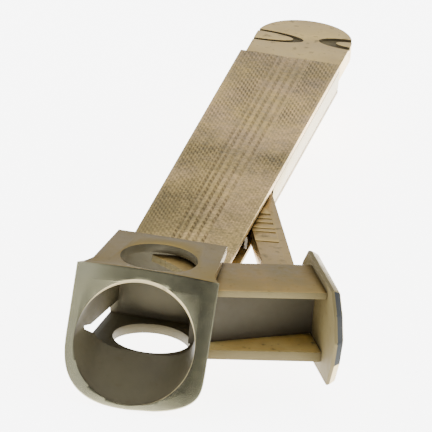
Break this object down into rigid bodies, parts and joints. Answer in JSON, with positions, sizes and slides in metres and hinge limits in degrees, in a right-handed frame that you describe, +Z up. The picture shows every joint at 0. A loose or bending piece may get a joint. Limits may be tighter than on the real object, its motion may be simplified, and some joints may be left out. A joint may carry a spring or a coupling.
{
  "type": "pocket cigar cutter",
  "caption": "Pocket cigar cutter: a cutting head with a raked front bore and a small vertical hole, a flat engine-turned handle, and a sprung side lever carrying the blade and a thumb plate.",
  "frame": {"origin": "centre of the bottom cover's outer flat face, midway along the handle's covers", "axes": "+Y along the handle away from the cutting head, +Z up through the small vertical hole, +X to the side on which the lever stands out"},
  "size_m": [0.0338, 0.1151, 0.016],
  "materials": {
    "nickel_silver": "worn nickel silver, polished high spots and brown grime in the recesses",
    "engraved_brass": "worn brass with fine engine-turned diagonal hatching",
    "worn_brass": "satin worn brass with brown tarnish",
    "spring_steel": "dull brushed"
  },
  "bodies": {
    "handle": {"head_block": "nickel_silver", "top_cover": "engraved_brass", "bottom_cover": "worn_brass", "left_rail": "worn_brass", "right_rail": "worn_brass", "front_spacer": "worn_brass", "end_tongue": "nickel_silver", "pivot_pin": "spring_steel", "opening_spring": "spring_steel", "spring_anchor_pin": "spring_steel", "front_rivet": "spring_steel", "rear_rivet_left": "spring_steel", "rear_rivet_right": "spring_steel"},
    "lever": {"lever_arm": "worn_brass", "upper_blade": "worn_brass", "lower_guide": "worn_brass", "cutter_web": "worn_brass", "thumb_plate": "nickel_silver"}
  },
  "joints": [
    {"name": "lever_pivot", "type": "hinge", "parent": "handle", "child": "lever", "pos_m": [0.0026, -0.0005, 0.002], "axis": [0, 0, 1], "range_deg": [-12.4, 0], "stiffness_Nm_per_rad": 0.12, "springref_deg": 40.11, "deforming": ["opening_spring"]}
  ]
}
